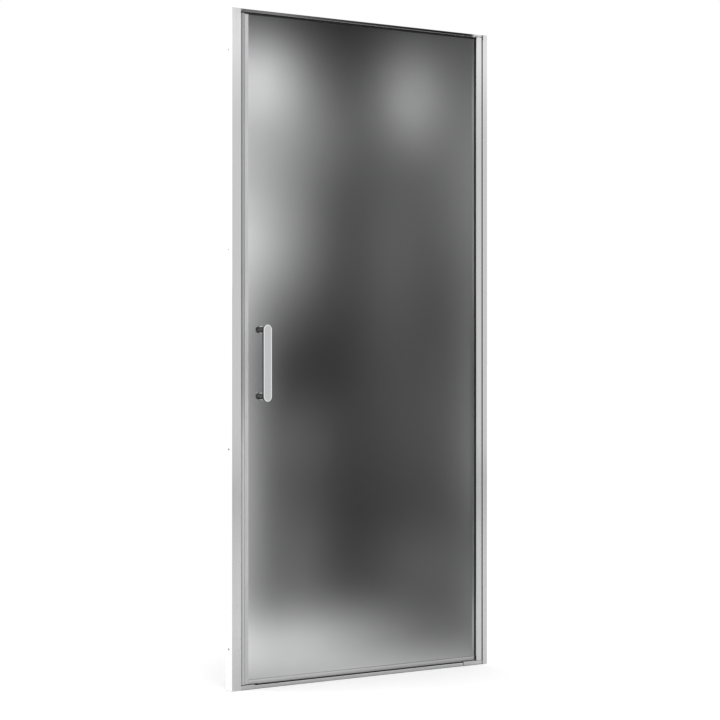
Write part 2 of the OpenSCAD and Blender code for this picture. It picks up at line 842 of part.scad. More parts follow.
module handle_bar() {
    color("silver") difference() {
        translate([bar_x, bar_back, bar_z]) {
            for (s = [-1, 1])
                translate([0, 0, s * post_c / 2]) rotate([90, 0, 0]) rotate_extrude() bar_half_profile();
            translate([0, 0, -post_c / 2]) linear_extrude(post_c) mirror([0, 1]) {
                bar_half_profile();
                mirror([1, 0]) bar_half_profile();
            }
        }
        for (s = [-1, 1])
            translate([bar_x, bar_back + 1, bar_z + s * post_c / 2])
                rotate([90, 0, 0]) rod(spigot_r + slide, spigot_l + 1 + fit);
    }
}

// Posts: drums with chamfered rims, a spigot into the bar and a blind hole for the screw
module handle_posts() {
    c = 0.8;
    color("grey")
        for (s = [-1, 1])
            translate([bar_x, glass_front - disc_t, bar_z + s * post_c / 2]) rotate([90, 0, 0])
                rotate_extrude()
                    polygon([
                        [bolt_r + slide, 0], [post_r - c, 0], [post_r, c], [post_r, post_l - c],
                        [post_r - c, post_l], [spigot_r, post_l], [spigot_r, post_l + spigot_l],
                        [0, post_l + spigot_l], [0, bolt_in_post], [bolt_r + slide, bolt_in_post]
                    ]);
}

module handle_washers() {
    color("whitesmoke")
        for (s = [-1, 1], y = [glass_front - disc_t, glass_back_y])
            translate([bar_x, y, bar_z + s * post_c / 2]) along_y()
                ring(post_r, bolt_r + fit, disc_t);
}

module handle_sleeves() {
    color("whitesmoke")
        for (s = [-1, 1])
            translate([bar_x, glass_front, bar_z + s * post_c / 2]) along_y()
                ring(glass_hole_d / 2 - fit, bolt_r + fit, glass_t);
}

module handle_screws() {
    tip = bolt_in_post - 1;
    l = disc_t + glass_t + disc_t + tip;
    color("lightgrey")
        for (s = [-1, 1])
            translate([bar_x, glass_back_y + disc_t, bar_z + s * post_c / 2]) rotate([90, 0, 0])
                pan_screw(bolt_r, l, bolt_head_r, bolt_head_h);
}

module handle_caps() {
    r = 2;
    color("silver")
        for (s = [-1, 1])
            translate([bar_x, glass_back_y + disc_t, bar_z + s * post_c / 2]) along_y()
                rotate_extrude() difference() {
                    union() {
                        square([dome_r - r, dome_h]);
                        square([dome_r, dome_h - r]);
                        translate([dome_r - r, dome_h - r]) circle(r = r);
                    }
                    translate([0, -1]) square([bolt_head_r + 0.5, bolt_head_h + 1 + 0.5]);
                    translate([-dome_r, -1]) square([dome_r, dome_h + 2]);
                }
}

wall_channel_left();
wall_channel_right();
channel_caps();
strike_jamb();
pivot_jamb();
jamb_screws();
jamb_screw_caps();
head_rail();
sill();
head_corner_block();
sill_corner_block();
upper_pivot_block();
lower_pivot_block();
block_screws();
upper_bush();
lower_bush();
thrust_washer();
frame_seal();
frame_magnet();
glass_panel();
hinge_stile();
glazing_seat();
glazing_gasket();
upper_stile_plug();
lower_stile_plug();
upper_pivot_pin();
lower_pivot_pin();
plug_screws();
leaf_seal();
leaf_magnet();
sweep_seal();
sweep_wiper();
top_seal();
handle_bar();
handle_posts();
handle_washers();
handle_sleeves();
handle_screws();
handle_caps();
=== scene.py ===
# %% [markdown]
# # A framed shower door with a frosted leaf
# The door comes from CAD as 39 pieces on two bodies, and their shapes and places are fixed. This lesson
# gives them their finishes: polished profiles, chrome, frosted glass, soft seals. It also models a few small
# pieces that CAD leaves plain, and sets up the studio. Every number is in metres, in the door's own frame:
# X runs along the doorway, -Y points out of the shower and Z is up. The frame is loaded first, because
# every finish and every new piece is set against it.

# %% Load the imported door
import math

import bmesh
import bpy
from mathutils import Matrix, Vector


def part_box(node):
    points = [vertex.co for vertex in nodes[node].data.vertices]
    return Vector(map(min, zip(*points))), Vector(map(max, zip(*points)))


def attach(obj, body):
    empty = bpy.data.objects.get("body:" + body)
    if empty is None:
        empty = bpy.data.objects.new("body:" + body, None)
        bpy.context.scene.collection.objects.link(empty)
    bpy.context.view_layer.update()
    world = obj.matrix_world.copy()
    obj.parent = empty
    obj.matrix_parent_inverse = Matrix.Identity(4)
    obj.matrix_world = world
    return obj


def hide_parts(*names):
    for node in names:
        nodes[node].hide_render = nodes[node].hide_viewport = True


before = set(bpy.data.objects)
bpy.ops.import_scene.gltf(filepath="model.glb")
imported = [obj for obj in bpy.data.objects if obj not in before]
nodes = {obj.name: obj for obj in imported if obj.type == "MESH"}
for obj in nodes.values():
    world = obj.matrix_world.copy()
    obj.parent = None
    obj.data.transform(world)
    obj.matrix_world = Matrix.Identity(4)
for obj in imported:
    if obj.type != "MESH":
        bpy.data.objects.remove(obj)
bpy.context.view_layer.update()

# %% [markdown]
# ## The camera
# The photo was taken from the left of the door with a long lens, held level, so upright edges stay
# parallel. Two facts fix such a camera: how tall each side of the door looks, and how wide the door looks.
# The lens could also be found by trial, but solving it once puts every edge in its place. The shift lowers
# the view by eight pixels of 720, because the horizon lies that much above the middle of the photo.

# %% Place the camera
CAMERA_AT = (-4.93077, -5.73758, 0.96788)
VIEW_TURN = math.radians(40.636)
LENS = 126.92
PHOTO_SIZE = 720
HORIZON_RISE = 8
FAR_LIMIT = 200
bpy.ops.object.camera_add(location=CAMERA_AT, rotation=(math.radians(90), 0, -VIEW_TURN))
camera = bpy.context.object
camera.data.sensor_width = 36
camera.data.lens = LENS
camera.data.shift_y = -HORIZON_RISE / PHOTO_SIZE
camera.data.clip_end = FAR_LIMIT
scene = bpy.context.scene
scene.camera = camera
scene.view_settings.view_transform = "Standard"
print("camera", round(math.degrees(VIEW_TURN), 2), "degrees round, lens", LENS)

# %% [markdown]
# ## Small helpers for node trees
# A finish is a small network of nodes. Adding each node by hand takes four lines, so one helper adds a
# node, sets its options and fills or links its inputs. The others build on it and say what they do: a sum,
# a ramp, a mix of two colours, the place on the piece.

# %% Node helpers
def put(tree, kind, inputs=None, **options):
    node = tree.nodes.new("ShaderNode" + kind)
    for name, value in options.items():
        setattr(node, name, value)
    for name, value in (inputs or {}).items():
        if isinstance(value, bpy.types.NodeSocket):
            tree.links.new(value, node.inputs[name])
        else:
            node.inputs[name].default_value = value
    return node


def calc(tree, operation, *values):
    return put(tree, "Math", dict(enumerate(values)), operation=operation).outputs[0]


def calc_vector(tree, operation, *values):
    return put(tree, "VectorMath", dict(enumerate(values)), operation=operation).outputs


def ramp_between(tree, value, low, high, to_low=0.0, to_high=1.0):
    return put(tree, "MapRange", {"Value": value, "From Min": low, "From Max": high,
                                  "To Min": to_low, "To Max": to_high}).outputs["Result"]


def mix_colors(tree, factor, a, b):
    return put(tree, "Mix", {0: factor, 6: a, 7: b}, data_type="RGBA").outputs[2]


def piece_place(tree):
    return put(tree, "TexCoord").outputs["Object"]


def split_xyz(tree, vector):
    return put(tree, "SeparateXYZ", {"Vector": vector}).outputs


print("node helpers: put, calc, calc_vector, ramp_between, mix_colors, piece_place, split_xyz")

# %% [markdown]
# An effect that many finishes share, such as edge wear, is a node group. It has named inputs and one
# output, is built once, and each finish places it with its own numbers.

# %% Group helpers
def start_group(name, inputs, output="Mask"):
    tree = bpy.data.node_groups.new(name, "ShaderNodeTree")
    for socket, kind, default in inputs:
        kind = "NodeSocket" + kind
        tree.interface.new_socket(socket, in_out="INPUT", socket_type=kind).default_value = default
    tree.interface.new_socket(output, in_out="OUTPUT", socket_type="NodeSocketFloat")
    return tree, tree.nodes.new("NodeGroupInput").outputs, tree.nodes.new("NodeGroupOutput").inputs[output]


def use_group(tree, name, inputs):
    node = put(tree, "Group", node_tree=bpy.data.node_groups[name])
    for socket, value in inputs.items():
        node.inputs[socket].default_value = value
    return node.outputs[0]


print("group helpers: start_group, use_group")

# %% [markdown]
# ## Edge wear and edge highlights
# Polish rubs thin where two faces meet, and real edges catch more light. Finishes lighten the masked edges
# for both, so the lighter edge is partly wear and partly a painted highlight. The Bevel node reports how a
# slightly rounded edge would face. Where that differs from the true face direction there is an edge, and the
# mask rises. It needs no extra mesh, so it works on the CAD pieces, whose meshes are never touched.

# %% Edge wear and highlight group
NO_EDGE = 0.999
FULL_EDGE = 0.94
tree, given, out = start_group("edge_wear_and_highlight", [("Radius", "Float", 0.0006)])
rounded = put(tree, "Bevel", {"Radius": given["Radius"]}, samples=4).outputs[0]
true_face = put(tree, "NewGeometry").outputs["Normal"]
same = calc_vector(tree, "DOT_PRODUCT", rounded, true_face)["Value"]
tree.links.new(ramp_between(tree, same, NO_EDGE, FULL_EDGE), out)
print("edge_wear_and_highlight:", len(tree.nodes), "nodes")

# %% [markdown]
# ## Draw lines
# An aluminium profile is pressed through a die, which leaves faint lines along its whole length, and
# plating is brushed before it is polished. Noise that is stretched far along one direction and squeezed
# across it gives such lines. The scale is a vector, so the same group serves upright and level profiles.

# %% Draw line group
tree, given, out = start_group("draw_lines", [("Scale", "Vector", (1, 1, 1))])
stretched = calc_vector(tree, "MULTIPLY", piece_place(tree), given["Scale"])["Vector"]
lines = put(tree, "TexNoise", {"Vector": stretched, "Scale": 1.0, "Detail": 3.0, "Roughness": 0.62})
tree.links.new(lines.outputs["Fac"], out)
print("draw_lines:", len(tree.nodes), "nodes")

# %% [markdown]
# ## Smudges
# Where hands and cloths have been, a surface has wide soft patches, and they change how sharp a reflection
# is. They could be painted, but slow noise gives them on every piece without a picture.

# %% Smudge group
CLEAN = 0.38
SMUDGED = 0.68
tree, given, out = start_group("smudges", [("Scale", "Float", 6.0)])
patches = put(tree, "TexNoise", {"Vector": piece_place(tree), "Scale": given["Scale"], "Detail": 4.0,
                                 "Roughness": 0.55})
tree.links.new(ramp_between(tree, patches.outputs["Fac"], CLEAN, SMUDGED), out)
print("smudges:", len(tree.nodes), "nodes")

# %% [markdown]
# ## Water marks
# Dried drops are small rings of lime, and there are more of them low down, where water splashes back up.
# Voronoi cells give each drop its place. A ring is drawn where the distance from a cell's middle has one
# value, and only some cells keep theirs, picked by the cell's own random colour.

# %% Water mark group
RING_SIZE = 0.24
RING_WIDTH = 0.05
DRY_SHARE = 0.82
LEFT_HIGH_UP = 0.15
tree, given, out = start_group("water_marks", [("Scale", "Float", 90.0), ("Top", "Float", 1.2)])
place = piece_place(tree)
cells = put(tree, "TexVoronoi", {"Vector": place, "Scale": given["Scale"]}, feature="F1").outputs
rim = calc(tree, "COMPARE", cells["Distance"], RING_SIZE, RING_WIDTH)
chosen = put(tree, "SeparateColor", {"Color": cells["Color"]}).outputs["Red"]
few = calc(tree, "GREATER_THAN", chosen, DRY_SHARE)
low_down = ramp_between(tree, split_xyz(tree, place)["Z"], 0.0, given["Top"], 1.0, LEFT_HIGH_UP)
tree.links.new(calc(tree, "MULTIPLY", calc(tree, "MULTIPLY", rim, few), low_down), out)
print("water_marks:", len(tree.nodes), "nodes")

# %% [markdown]
# ## The painted highlight on the handle bar's border
# The bar's flat front is brushed, and the band along its outline is polished. The band gets the lighter
# tone, a painted highlight for its shine. It follows the outline: the distance from the bar's middle line is
# measured, with half circles round both ends, and the mask rises where that distance comes close to the
# bar's half width.

# %% Bar border group
bar_points = [v.co for v in nodes["handle_bar"].data.vertices]
low, high = [Vector([end(p[axis] for p in bar_points) for axis in range(3)]) for end in (min, max)]
BAR_MIDDLE = tuple((low + high) / 2)
BAR_RIGHT = high.x
BORDER_FADE = 0.0012
print("handle bar middle", [round(v, 4) for v in BAR_MIDDLE], "size", [round(v, 4) for v in high - low])

tree, given, out = start_group("bar_border", [
    ("Middle", "Vector", (0, 0, 0)),
    ("Straight", "Float", 0.1),
    ("Plain", "Float", 0.01),
])
away = calc_vector(tree, "SUBTRACT", piece_place(tree), given["Middle"])["Vector"]
away = split_xyz(tree, calc_vector(tree, "ABSOLUTE", away)["Vector"])
past_end = calc(tree, "MAXIMUM", calc(tree, "SUBTRACT", away["Z"], given["Straight"]), 0.0)
across = put(tree, "CombineXYZ", {"X": away["X"], "Y": past_end}).outputs[0]
across = calc_vector(tree, "LENGTH", across)["Value"]
past_plain = calc(tree, "SUBTRACT", across, given["Plain"])
tree.links.new(ramp_between(tree, past_plain, 0.0, BORDER_FADE), out)
print("bar_border:", len(tree.nodes), "nodes")

# %% [markdown]
# ## Painted light and tone in bands
# Some marks on the door lie in bands: painted shade along feet, in joints and on seals, painted highlights
# and reflections on seals and on the bar, and plain tone steps. Such marks could be painted by hand. Here a
# band says
# one in five numbers: the axis that it runs along, where it starts, where it is full, how strong it is
# there, and its grey tone. It lies in the piece's own space, so it moves with the leaf.

# %% Start a finish and add its tone bands
def start_material(name):
    material = bpy.data.materials.new(name)
    material.use_nodes = True
    tree = material.node_tree
    return material, tree, tree.nodes["Principled BSDF"]


def add_tone_bands(tree, color, bands):
    place = split_xyz(tree, piece_place(tree))
    for axis, start, end, amount, tone in bands:
        band_mask = ramp_between(tree, place[axis], start, end, 0, amount)
        color = mix_colors(tree, band_mask, color, (tone, tone, tone, 1))
    return color


print("finish helpers: start_material, soil")

# %% [markdown]
# ## Metal finishes
# All the metal parts are built the same way and differ in tone, sharpness and the direction of their lines.
# The base colour goes from the plain tone to a lighter tone on edges, partly wear and partly a painted
# highlight, and to a duller one in lime marks. Roughness rises with smudges, and the lines and marks give a
# very small bump. The recipe is one function, because only its numbers change.

# %% Metal finish recipe
LINE_SHARE = 0.35
LINE_SHADE = 0.86
EDGE_SHARE = 0.8
LIME_SHARE = 0.25
LIME_TONE = (0.5, 0.5, 0.49, 1)
LIME_ROUGH = 0.25
LIME_RELIEF = 0.5
METAL_DROPS = {"Scale": 120.0, "Top": 0.9}
METAL_SMUDGES = 7.0
LINE_DEPTH = 0.00002


def metal(name, tone, worn_and_lit, sharp, dull, lines, edge_radius=0.0006, border=None, bands=()):
    material, tree, shader = start_material(name)
    edge = use_group(tree, "edge_wear_and_highlight", {"Radius": edge_radius})
    drawn = use_group(tree, "draw_lines", {"Scale": lines})
    hands = use_group(tree, "smudges", {"Scale": METAL_SMUDGES})
    lime = use_group(tree, "water_marks", METAL_DROPS)
    shaded = [t * LINE_SHADE for t in tone]
    color = mix_colors(tree, calc(tree, "MULTIPLY", drawn, LINE_SHARE), (*tone, 1), (*shaded, 1))
    # The bar's border gets a painted highlight in the lighter tone.
    if border:
        color = mix_colors(tree, use_group(tree, "bar_border", border), color, (*worn_and_lit, 1))
    color = mix_colors(tree, calc(tree, "MULTIPLY", edge, EDGE_SHARE), color, (*worn_and_lit, 1))
    color = add_tone_bands(tree, color, bands)
    color = mix_colors(tree, calc(tree, "MULTIPLY", lime, LIME_SHARE), color, LIME_TONE)
    tree.links.new(color, shader.inputs["Base Color"])
    rough = calc(tree, "MULTIPLY_ADD", lime, LIME_ROUGH, ramp_between(tree, hands, 0, 1, sharp, dull))
    tree.links.new(rough, shader.inputs["Roughness"])
    relief = calc(tree, "MULTIPLY_ADD", lime, LIME_RELIEF, drawn)
    bump = put(tree, "Bump", {"Strength": 0.5, "Distance": LINE_DEPTH, "Height": relief})
    tree.links.new(bump.outputs[0], shader.inputs["Normal"])
    shader.inputs["Metallic"].default_value = 1.0
    return material


print("metal recipe ready")

# %% [markdown]
# The foot of the sill and of the blocks has a painted contact shadow, and the joints between rail, sill and
# blocks have painted shade. The bar's sides are painted darker than its front, a painted dark reflection,
# and its right border has a painted highlight.
#
# Each finish then gives its plain tone, its lighter tone for worn edges and painted highlights, its sharpest
# and dullest roughness, and how tight the lines lie along X, Y and Z.

# %% The metals
# Painted contact shadow along the sill's foot.
SILL_FOOT_SHADOW = ("Z", 0.004, 0.0, 0.8, 0.30)
# Painted shade in the gap between the sill and the lower pivot block.
SILL_JOINT_SHADE = ("X", 0.4005, 0.4035, 0.9, 0.03)
# Painted shade in the joint between the head rail and its corner block.
RAIL_JOINT_SHADE = ("X", -0.448, -0.456, 0.6, 0.02)
# Painted contact shadow along the foot of the blocks.
BLOCK_FOOT_SHADOW = ("Z", 0.004, 0.0, 0.7, 0.15)
# Painted highlight on the bar's right border.
BAR_RIGHT_HIGHLIGHT = ("X", BAR_RIGHT - 0.0042, BAR_RIGHT - 0.0036, 0.8, 0.97)
# Painted dark reflection on the bar's sides.
BAR_SIDE_REFLECTION = ("Y", -0.0432, -0.0418, 0.88, 0.06)
BAR_OUTLINE = {"Middle": BAR_MIDDLE, "Straight": 0.096, "Plain": 0.0112}
UPRIGHT = (900, 900, 3)
LEVEL = (3, 900, 900)

FINISHES = {
    # The upright profiles have a wider edge band: a painted highlight along each edge as well as wear.
    "upright_profile": metal("upright_profile", (0.64, 0.64, 0.65), (0.86, 0.86, 0.87), 0.10, 0.22, UPRIGHT,
                             edge_radius=0.0012),
    "level_profile": metal("level_profile", (0.54, 0.54, 0.55), (0.74, 0.74, 0.75), 0.10, 0.22, LEVEL,
                           bands=[SILL_FOOT_SHADOW, SILL_JOINT_SHADE]),
    # The head rail's finish is a darker copy of the profile finish: painted shade for the dark things the
    # rail mirrors.
    "head_profile": metal("head_profile", (0.44, 0.44, 0.45), (0.52, 0.52, 0.53), 0.06, 0.14, LEVEL,
                          edge_radius=0.0003, bands=[RAIL_JOINT_SHADE]),
    # The pivot jamb is painted near black: painted shade that makes the running groove read as a dark line.
    "dark_profile": metal("dark_profile", (0.025, 0.025, 0.026), (0.08, 0.08, 0.08), 0.34, 0.5, UPRIGHT),
    "plated_trim": metal("plated_trim", (0.57, 0.57, 0.58), (0.70, 0.70, 0.71), 0.08, 0.20, (60, 60, 60),
                         edge_radius=0.0003, bands=[BLOCK_FOOT_SHADOW]),
    "handle_bar_chrome": metal("handle_bar_chrome", (0.60, 0.60, 0.62), (0.80, 0.80, 0.81), 0.12, 0.24,
                               (700, 700, 6), border=BAR_OUTLINE, bands=[BAR_RIGHT_HIGHLIGHT, BAR_SIDE_REFLECTION]),
    "drum_chrome": metal("drum_chrome", (0.70, 0.70, 0.71), (0.86, 0.86, 0.87), 0.06, 0.16, (300, 20, 300)),
    "screw_steel": metal("screw_steel", (0.50, 0.50, 0.51), (0.72, 0.72, 0.73), 0.25, 0.38,
                         (250, 250, 250)),
}
print(len(FINISHES), "metal finishes")

# %% [markdown]
# ## Frosted glass
# The leaf is one sheet of 6 mm safety glass, etched so that shapes behind it blur. Real etching is uneven
# at two scales: a fine grain, and slow clouds where the acid bit deeper. Full transmission with a high
# roughness blurs what is behind. The grain is a bump, and the clouds and a few dried drops change the
# roughness. The sheet's cut edges are polished, so the roughness drops where the glass faces sideways, up
# or down. That direction is read in the sheet's own space, because the leaf turns when the door opens. A
# low index of refraction keeps the sheet's own mirror image faint, as etching does.

# %% Frosted glass
CLOUD_SCALE = 3.0
GRAIN_SCALE = 1400.0
GRAIN_DEPTH = 0.00005
ETCH_LIGHT = 0.46
ETCH_DEEP = 0.52
DROP_ROUGH = 0.10
CUT_EDGE_ROUGH = 0.06
GLASS_DROPS = {"Scale": 70.0, "Top": 1.6}
GLASS_IOR = 1.2
PALE_GLASS = (0.66, 0.67, 0.67, 1)
CLOUDY_GLASS = (0.62, 0.63, 0.63, 1)


def frosted_glass():
    material, tree, shader = start_material("frosted_glass")
    clouds = use_group(tree, "smudges", {"Scale": CLOUD_SCALE})
    lime = use_group(tree, "water_marks", GLASS_DROPS)
    facing = split_xyz(tree, put(tree, "TexCoord").outputs["Normal"])["Y"]
    broad_face = calc(tree, "GREATER_THAN", calc(tree, "ABSOLUTE", facing), 0.5)
    etched = ramp_between(tree, clouds, 0, 1, ETCH_LIGHT, ETCH_DEEP)
    etched = calc(tree, "MULTIPLY_ADD", lime, DROP_ROUGH, etched)
    rough = put(tree, "Mix", {0: broad_face, 2: CUT_EDGE_ROUGH, 3: etched}, data_type="FLOAT").outputs[0]
    tree.links.new(rough, shader.inputs["Roughness"])
    tree.links.new(mix_colors(tree, clouds, PALE_GLASS, CLOUDY_GLASS), shader.inputs["Base Color"])
    grain = put(tree, "TexNoise", {"Vector": piece_place(tree), "Scale": GRAIN_SCALE, "Detail": 2.0})
    bump = put(tree, "Bump", {"Strength": 0.25, "Distance": GRAIN_DEPTH, "Height": grain.outputs["Fac"]})
    tree.links.new(bump.outputs[0], shader.inputs["Normal"])
    shader.inputs["Transmission Weight"].default_value = 1.0
    shader.inputs["IOR"].default_value = GLASS_IOR
    return material


FINISHES["frosted_glass"] = frosted_glass()
print("glass roughness", ETCH_LIGHT, "to", ETCH_DEEP, "on the faces,", CUT_EDGE_ROUGH, "on the cut edges")

# %% [markdown]
# ## Plastics and rubber
# The soft seals are milky plastic, the wiper, the top seal and the gasket are black rubber, the bushes are
# nylon and the washers are clear. They share one recipe too. Moulded and extruded plastic is never one flat
# tone: dust sits in it, handling makes it glossier in places, and its skin has a fine texture that softens
# the highlights.

# %% Plastic finish recipe
DUST_SHARE = 0.6
PLASTIC_EDGE_SHARE = 0.3
PLASTIC_EDGE_RADIUS = 0.0004
PLASTIC_SMUDGES = 9.0
SKIN_SCALE = 900.0
SKIN_DEPTH = 0.00003


def plastic(name, tone, dusty, sharp, dull, clear=0.0, shine=0.5, bands=()):
    material, tree, shader = start_material(name)
    hands = use_group(tree, "smudges", {"Scale": PLASTIC_SMUDGES})
    edge = use_group(tree, "edge_wear_and_highlight", {"Radius": PLASTIC_EDGE_RADIUS})
    # The lighter edge tone of plastics is partly wear and partly a painted highlight.
    worn_and_lit = [min(1, t * 1.25 + 0.02) for t in tone]
    color = mix_colors(tree, calc(tree, "MULTIPLY", hands, DUST_SHARE), (*tone, 1), (*dusty, 1))
    color = mix_colors(tree, calc(tree, "MULTIPLY", edge, PLASTIC_EDGE_SHARE), color, (*worn_and_lit, 1))
    tree.links.new(add_tone_bands(tree, color, bands), shader.inputs["Base Color"])
    tree.links.new(ramp_between(tree, hands, 0, 1, sharp, dull), shader.inputs["Roughness"])
    skin = put(tree, "TexNoise", {"Vector": piece_place(tree), "Scale": SKIN_SCALE, "Detail": 2.0})
    bump = put(tree, "Bump", {"Strength": 0.4, "Distance": SKIN_DEPTH, "Height": skin.outputs["Fac"]})
    tree.links.new(bump.outputs[0], shader.inputs["Normal"])
    shader.inputs["Transmission Weight"].default_value = clear
    shader.inputs["Specular IOR Level"].default_value = shine
    return material


print("plastic recipe ready")

# %% [markdown]
# The soft parts have bands too. The sweep under the glass has painted shade towards the hinge and along its
# foot, and a painted shadow where it ends at the stile. The seal on the frame has a painted reflection that
# lightens its lower half, and painted shadows at its two ends. The wiper is black, with a grey root where it
# leaves the sweep, except over the two end blocks.

# %% The plastics
# Painted shade on the sweep towards the hinge, along its foot, and a painted shadow at its end by the stile.
SWEEP_SHADE_TO_HINGE = ("X", -0.15, 0.45, 0.35, 0.20)
SWEEP_FOOT_SHADE = ("Z", 0.0272, 0.0165, 0.60, 0.20)
SWEEP_END_SHADOW = ("X", 0.447, 0.452, 0.95, 0.01)
# Painted reflection that lightens the lower half of the frame seal.
SEAL_LOWER_REFLECTION = ("Z", 0.86, 0.685, 1.0, 0.46)
# Painted shadows at the frame seal's two ends.
SEAL_TOP_SHADOW = ("Z", 1.9375, 1.939, 0.95, 0.008)
SEAL_FOOT_SHADOW = ("Z", 0.0158, 0.0142, 0.95, 0.008)
WIPER_ROOT = ("Z", 0.0143, 0.0154, 1.0, 0.33)
WIPER_ENDS = [("X", 0.398, 0.404, 1.0, 0.012), ("X", -0.398, -0.404, 1.0, 0.012)]
RUBBER = ((0.012, 0.012, 0.013), (0.022, 0.022, 0.022), 0.5, 0.65)

FINISHES.update({
    "milky_seal": plastic("milky_seal", (0.47, 0.47, 0.48), (0.41, 0.41, 0.40), 0.28, 0.42),
    "sweep_plastic": plastic("sweep_plastic", (0.82, 0.82, 0.82), (0.77, 0.77, 0.76), 0.28, 0.42, clear=0.3,
                             bands=[SWEEP_SHADE_TO_HINGE, SWEEP_FOOT_SHADE, SWEEP_END_SHADOW]),
    # The frame seal is a darker copy of the leaf seal: painted shade where it sits back behind the jamb.
    "shade_darkened_seal": plastic("shade_darkened_seal", (0.31, 0.31, 0.32), (0.26, 0.26, 0.26), 0.28, 0.42,
                          bands=[SEAL_LOWER_REFLECTION, SEAL_TOP_SHADOW, SEAL_FOOT_SHADOW]),
    "milky_rubber": plastic("milky_rubber", (0.42, 0.42, 0.43), (0.36, 0.36, 0.36), 0.45, 0.6),
    "black_rubber": plastic("black_rubber", *RUBBER, shine=0.12),
    "wiper_rubber": plastic("wiper_rubber", *RUBBER, shine=0.12, bands=[WIPER_ROOT, *WIPER_ENDS]),
    "magnet_strip": plastic("magnet_strip", (0.035, 0.035, 0.037), (0.06, 0.06, 0.06), 0.5, 0.65),
    "bush_nylon": plastic("bush_nylon", (0.80, 0.80, 0.77), (0.70, 0.69, 0.65), 0.35, 0.5),
    "clear_plastic": plastic("clear_plastic", (0.42, 0.42, 0.43), (0.36, 0.36, 0.36), 0.15, 0.3, clear=0.6),
    "cap_plastic": plastic("cap_plastic", (0.60, 0.60, 0.61), (0.52, 0.52, 0.52), 0.22, 0.35),
})
print(len(FINISHES), "finishes in all")

# %% [markdown]
# ## Dress the CAD pieces
# Each CAD piece keeps its shape and gets one finish. The table follows the real door: what is extruded,
# what is plated, what is soft. Each piece could have a finish of its own, but parts that come from one
# process look alike, so they share one.

# %% Give every node its finish
WEARS = {
    "upright_profile": ["wall_channel_left", "wall_channel_right", "strike_jamb", "hinge_stile"],
    # The near-black pivot jamb stands for the shade in the running groove.
    "dark_profile": ["pivot_jamb"],
    "level_profile": ["sill"],
    "head_profile": ["head_rail", "head_corner_block"],
    "plated_trim": ["channel_caps", "sill_corner_block", "upper_pivot_block", "lower_pivot_block",
                    "upper_stile_plug", "lower_stile_plug"],
    "handle_bar_chrome": ["handle_bar"],
    "drum_chrome": ["handle_posts", "handle_caps"],
    "screw_steel": ["jamb_screws", "block_screws", "plug_screws", "handle_screws", "upper_pivot_pin",
                    "lower_pivot_pin"],
    "frosted_glass": ["glass_panel"],
    # The frame seal's darker finish is painted shade.
    "shade_darkened_seal": ["frame_seal"],
    "milky_seal": ["leaf_seal"],
    "sweep_plastic": ["sweep_seal"],
    "milky_rubber": ["glazing_seat"],
    "wiper_rubber": ["sweep_wiper"],
    "black_rubber": ["top_seal", "glazing_gasket"],
    "magnet_strip": ["frame_magnet", "leaf_magnet"],
    "bush_nylon": ["upper_bush", "lower_bush", "thrust_washer"],
    "clear_plastic": ["handle_washers", "handle_sleeves"],
    "cap_plastic": ["jamb_screw_caps"],
}
for finish, names in WEARS.items():
    for name in names:
        mesh = nodes[name].data
        mesh.materials.clear()
        mesh.materials.append(FINISHES[finish])
print("nodes without a finish:", sorted(set(nodes) - {n for names in WEARS.values() for n in names}))

# %% [markdown]
# ## Helpers for modelling by hand
# A modeller selects one object, enters edit mode, picks a face and works on it. These helpers do the same
# in code. Faces are picked by the direction they look in, because their numbers change with every
# operation. A finished piece sits at the origin with its place in its mesh, as the CAD pieces do.

# %% Pick and change
LOOKS_THERE = 0.9


def choose(piece):
    bpy.ops.object.select_all(action="DESELECT")
    piece.select_set(True)
    bpy.context.view_layer.objects.active = piece


def settle(piece):
    choose(piece)
    bpy.ops.object.transform_apply(location=True, rotation=True, scale=True)
    return piece


def edit_faces():
    bpy.ops.object.mode_set(mode="EDIT")
    bpy.ops.mesh.select_mode(type="FACE")


def pick_faces(piece, toward):
    mesh = bmesh.from_edit_mesh(piece.data)
    for face in mesh.faces:
        face.select_set(face.normal.dot(Vector(toward)) > LOOKS_THERE)
    mesh.select_flush_mode()
    bmesh.update_edit_mesh(piece.data)


def scale_faces(piece, toward, centre, factors):
    pick_faces(piece, toward)
    bpy.ops.transform.resize(value=factors, center_override=centre)


def modify(piece, kind, **settings):
    choose(piece)
    bpy.ops.object.modifier_add(type=kind)
    modifier = piece.modifiers[-1]
    for name, value in settings.items():
        setattr(modifier, name, value)
    bpy.ops.object.modifier_apply(modifier=modifier.name)


def cut_away(piece, cutter):
    modify(piece, "BOOLEAN", operation="DIFFERENCE", solver="EXACT", object=cutter)
    choose(cutter)
    bpy.ops.object.delete()


print("modelling helpers: choose, settle, edit_faces, pick_faces, scale_faces, modify, cut_away")

# %% [markdown]
# What repeats is modelled once and copied, and the copies become one piece. The piece then says which body
# it moves with, which CAD node it stands for and which finish it wears.

# %% Copy, join and hand over
def copy_to(piece, shift):
    choose(piece)
    bpy.ops.object.duplicate(linked=False)
    copy = bpy.context.object
    bpy.ops.transform.translate(value=shift)
    return settle(copy)


def join_as(name, parts):
    choose(parts[0])
    for part in parts[1:]:
        part.select_set(True)
    bpy.ops.object.join()
    piece = bpy.context.object
    piece.name = name
    bpy.ops.object.shade_smooth_by_angle(angle=math.radians(35))
    return piece


def hand_over(piece, body, node, finish):
    piece.data.materials.clear()
    piece.data.materials.append(FINISHES[finish])
    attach(piece, body)
    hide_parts(node)
    print(piece.name, len(piece.data.polygons), "faces", [round(v, 4) for v in piece.dimensions])


print("finishing helpers: copy_to, join_as, hand_over")

# %% [markdown]
# ## Screws with a cross recess
# Two countersunk screws hold the plugs in the ends of the hinge stile, and their heads show from inside the
# shower. CAD gives them a flat head. One screw is shaped from a cylinder: its inner end is narrowed to the
# shank, then drawn out twice, for the shank and for the tip.

